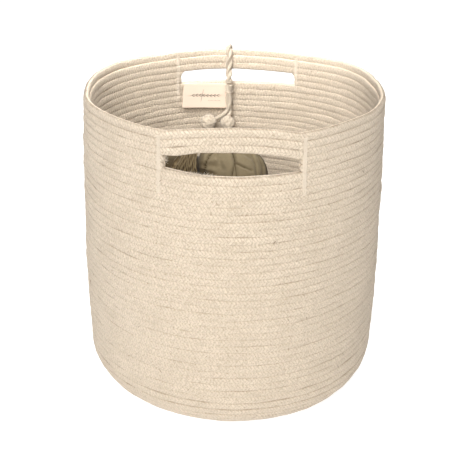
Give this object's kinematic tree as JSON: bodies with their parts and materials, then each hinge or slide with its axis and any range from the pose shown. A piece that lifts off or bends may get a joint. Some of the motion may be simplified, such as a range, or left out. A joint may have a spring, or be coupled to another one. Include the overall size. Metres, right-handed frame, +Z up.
{
  "type": "laundry basket",
  "caption": "Open round laundry basket of coiled cotton rope with hand slots, a knotted hang cord, a folded tag and a drawn-neck laundry bag standing inside.",
  "frame": {"origin": "on the floor at the middle of the basket's base", "axes": "+Z up out of the open mouth; the front hand slot faces -Y, the back hand slot with the hang cord faces +Y, +X to the right seen from the front"},
  "size_m": [0.415, 0.415, 0.4266],
  "materials": {
    "rope": "matte braided cotton rope, natural cream",
    "thread": "matte cotton thread",
    "cord": "matte twisted cotton cord",
    "card": "matte uncoated card",
    "bag_cloth": "matte unbleached cotton cloth"
  },
  "bodies": {
    "basket": {"base_coil": "rope", "corner_coil_low": "rope", "corner_coil_high": "rope", "wall_coil_low": "rope", "wall_coil_middle": "rope", "wall_coil_high": "rope", "rope_end_front": "rope", "slot_course_left": "rope", "slot_course_right": "rope", "rim_course_left": "rope", "rim_course_right": "rope", "handle_band_front": "rope", "handle_band_back": "rope", "stitch_front_left": "thread", "stitch_front_right": "thread", "stitch_back_left": "thread", "stitch_back_right": "thread", "cord_loop_left": "cord", "cord_loop_right": "cord"},
    "hang_cord": {"cord_tail_left": "cord", "cord_tail_right": "cord", "cord_knot_left": "cord", "cord_knot_right": "cord"},
    "tag": {"tag_card": "card", "tag_tie": "thread"},
    "laundry_bag": {"bag_body": "bag_cloth", "bag_neck": "bag_cloth", "bag_ruffle": "bag_cloth", "bag_tie": "thread"}
  },
  "joints": [
    {"name": "cord_swing", "type": "hinge", "parent": "basket", "child": "hang_cord", "pos_m": [-0.007, 0.1795, 0.3673], "axis": [-1, 0, 0], "range_deg": [0, 70]},
    {"name": "tag_turn", "type": "hinge", "parent": "hang_cord", "child": "tag", "pos_m": [-0.007, 0.1795, 0.3595], "axis": [0, 0, 1], "range_deg": [0, 90]},
    {"name": "bag_lift", "type": "slide", "parent": "basket", "child": "laundry_bag", "axis": [0, 0, 1], "range_m": [0, 0.45]}
  ]
}
